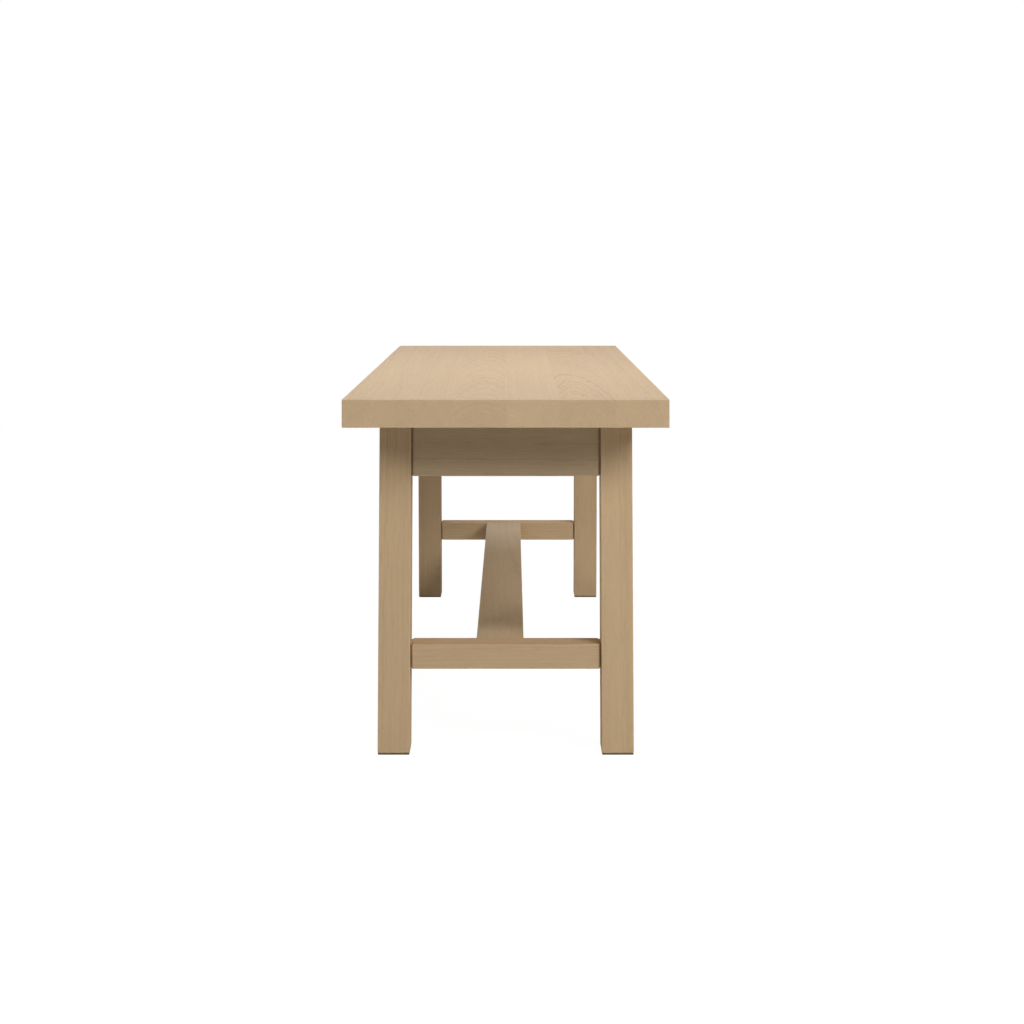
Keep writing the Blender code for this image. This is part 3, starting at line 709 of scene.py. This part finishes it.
def add_screw_row(name, nodes_in_row, length, head_at, turn):
    """Make a row of screws in the place of its CAD nodes."""
    low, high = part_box(nodes_in_row[0])
    head_radius = (high.x - low.x) / 2
    first_place, step = row_of_places(nodes_in_row, head_at)
    row = made_by(screws, name, {
        "Length": length, "Shank radius": screw_radius, "Head radius": head_radius,
        "Head height": head_height, "Tip length": tip_length, "Thread pitch": thread_pitch,
        "Thread depth": thread_depth, "Recess width": recess_width, "Recess length": recess_length,
        "Recess depth": recess_depth, "Steps round": steps_round, "Dome rows": dome_rows,
        "Shank rows": round(length / thread_pitch * rows_per_turn), "Turn": turn,
        "Count": len(nodes_in_row), "First place": first_place, "Step": step, "Metal": zinc})
    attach(row, "root")
    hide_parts(*nodes_in_row)


for end, inwards in (("front", 1), ("back", -1)):
    seat_screws = ["%s_seat_screw_%d" % (end, number) for number in range(1, seat_screw_count + 1)]
    low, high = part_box(seat_screws[0])
    add_screw_row("%s_seat_screws" % end, seat_screws, high.z - low.z - head_height,
                  lambda low, high, middle: Vector((middle.x, middle.y, low.z + head_height)), (0, 0, 0))
    apron_screws = ["%s_apron_screw_%d" % (end, number) for number in range(1, apron_screw_count + 1)]
    low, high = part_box(apron_screws[0])
    head_side = {1: lambda low, high, middle: Vector((middle.x, high.y - head_height, middle.z)),
                 -1: lambda low, high, middle: Vector((middle.x, low.y + head_height, middle.z))}[inwards]
    add_screw_row("%s_apron_screws" % end, apron_screws, high.y - low.y - head_height, head_side,
                  (inwards * pi / 2, 0, 0))

# Washers. A flat zinc-plated ring, punched from sheet, lies under the head of each seat screw and
# spans the slot. Its rims are slightly rounded by the press.
hole_radius = 0.00255
rim_radius = 0.0003
rim_points = 2
ring_points = 40

washers = bpy.data.node_groups.new("rows_of_flat_washers", "GeometryNodeTree")
for name, kind in (("Outer radius", "Float"), ("Hole radius", "Float"), ("Thickness", "Float"),
                   ("Rim radius", "Float"), ("Rim points", "Int"), ("Ring points", "Int"), ("Count", "Int"),
                   ("First place", "Vector"), ("Step", "Vector"), ("Metal", "Material")):
    washers.interface.new_socket(name, in_out="INPUT", socket_type="NodeSocket" + kind)
washers.interface.new_socket("Washers", in_out="OUTPUT", socket_type="NodeSocketGeometry")
given = add(washers, "NodeGroupInput")
band = add(washers, "ShaderNodeMath", {0: given.outputs["Outer radius"], 1: given.outputs["Hole radius"]},
           operation="SUBTRACT")
both = add(washers, "ShaderNodeMath", {0: given.outputs["Outer radius"], 1: given.outputs["Hole radius"]})
mean_radius = add(washers, "ShaderNodeMath", {0: both, 1: 0.5}, operation="MULTIPLY")
ring = add(washers, "GeometryNodeCurvePrimitiveCircle", {"Resolution": given.outputs["Ring points"],
                                                         "Radius": mean_radius})
section = add(washers, "GeometryNodeCurvePrimitiveQuadrilateral", {"Width": band,
                                                                   "Height": given.outputs["Thickness"]})
section = add(washers, "GeometryNodeFilletCurve", {"Curve": section, "Count": given.outputs["Rim points"],
                                                   "Radius": given.outputs["Rim radius"]}, mode="POLY")
washer = add(washers, "GeometryNodeCurveToMesh", {"Curve": ring, "Profile Curve": section})
places = add(washers, "GeometryNodeMeshLine", {"Count": given.outputs["Count"],
                                               "Start Location": given.outputs["First place"],
                                               "Offset": given.outputs["Step"]})
row = add(washers, "GeometryNodeInstanceOnPoints", {"Points": places, "Instance": washer})
row = add(washers, "GeometryNodeRealizeInstances", {"Geometry": row})
row = add(washers, "GeometryNodeSetMaterial", {"Geometry": row, "Material": given.outputs["Metal"]})
add(washers, "NodeGroupOutput", {"Washers": row})

for end in ("front", "back"):
    seat_washers = ["%s_seat_washer_%d" % (end, number) for number in range(1, seat_screw_count + 1)]
    low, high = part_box(seat_washers[0])
    first_place, step = row_of_places(seat_washers, lambda low, high, middle: middle)
    row = made_by(washers, "%s_seat_washers" % end, {
        "Outer radius": (high.x - low.x) / 2, "Hole radius": hole_radius, "Thickness": high.z - low.z,
        "Rim radius": rim_radius, "Rim points": rim_points, "Ring points": ring_points,
        "Count": len(seat_washers), "First place": first_place, "Step": step, "Metal": zinc})
    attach(row, "root")
    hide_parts(*seat_washers)

# Felt pads. A pad of dark brown pressed wool felt is glued under each foot. It is cut with
# rounded corners, and the weight on it swells its sides a little and leaves them fuzzy.
pad_corner = 0.0014
corner_points = 5
pad_bulge = 0.0003
pad_levels = 7
side_limit = 0.5
fuzz_size = 0.0009
fuzz_twist = 1.5
fuzz_strength = 0.8
fuzz_relief = 0.0003
worn_size = 0.0111
felt_roughness = (0.85, 1.00)
felt_sheen = (0.3, 0.5)
deep_felt = "#574838"
pale_felt = "#7D6A55"
worn_felt = "#6C5C4A"

felt, tree = empty_material("brown_pressed_wool_felt")
here = add(tree, "ShaderNodeTexCoord")
scaled = add(tree, "ShaderNodeMapping", {"Vector": here.outputs["Object"],
                                         "Scale": (1 / fuzz_size,) * 3})
tangle = add(tree, "ShaderNodeTexNoise", {"Vector": scaled, "Scale": 1, "Detail": 4,
                                          "Distortion": fuzz_twist})
scaled = add(tree, "ShaderNodeMapping", {"Vector": here.outputs["Object"],
                                         "Scale": (1 / worn_size,) * 3})
worn = add(tree, "ShaderNodeTexNoise", {"Vector": scaled, "Scale": 1, "Detail": 2})
colour = add(tree, "ShaderNodeMix", {"Factor": tangle, 6: linear(deep_felt), 7: linear(pale_felt)},
             data_type="RGBA")
colour = add(tree, "ShaderNodeMix", {"Factor": worn, 6: colour, 7: linear(worn_felt)}, data_type="RGBA")
dull = add(tree, "ShaderNodeMapRange", {"Value": tangle, "To Min": felt_roughness[0],
                                        "To Max": felt_roughness[1]})
bump = add(tree, "ShaderNodeBump", {"Height": tangle, "Strength": fuzz_strength, "Distance": fuzz_relief})
shader = add(tree, "ShaderNodeBsdfPrincipled", {"Base Color": colour, "Roughness": dull, "Normal": bump,
                                                "Sheen Weight": felt_sheen[0],
                                                "Sheen Roughness": felt_sheen[1]})
add(tree, "ShaderNodeOutputMaterial", {"Surface": shader})

for end in ("front", "back"):
    for side in ("left", "right"):
        node = "%s_%s_pad" % (end, side)
        low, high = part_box(node)
        middle = (low + high) / 2
        half = (high - low) / 2
        shape = bmesh.new()
        rings = []
        for step in range(pad_levels):
            height = low.z + (high.z - low.z) * step / (pad_levels - 1)
            pull_in = pad_bulge * (2 * step / (pad_levels - 1) - 1) ** 2
            ring = []
            for quarter, (east, north) in enumerate(((1, 1), (-1, 1), (-1, -1), (1, -1))):
                corner_x = middle.x + east * (half.x - pad_corner)
                corner_y = middle.y + north * (half.y - pad_corner)
                reach = pad_corner - pull_in
                for point in range(corner_points + 1):
                    angle = pi / 2 * (quarter + point / corner_points)
                    ring.append(shape.verts.new((corner_x + reach * cos(angle),
                                                 corner_y + reach * sin(angle), height)))
            rings.append(ring)
        for lower, upper in zip(rings, rings[1:]):
            for this_point in range(len(lower)):
                next_point = (this_point + 1) % len(lower)
                shape.faces.new((lower[this_point], lower[next_point], upper[next_point],
                                 upper[this_point]))
        shape.faces.new(reversed(rings[0]))
        shape.faces.new(rings[-1])
        shape.normal_update()
        for face in shape.faces:
            face.smooth = abs(face.normal.z) < side_limit
        data = bpy.data.meshes.new(node + "_felt")
        shape.to_mesh(data)
        shape.free()
        data.materials.append(felt)
        pad = bpy.data.objects.new(node + "_felt", data)
        bpy.context.scene.collection.objects.link(pad)
        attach(pad, "root")
        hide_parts(node)
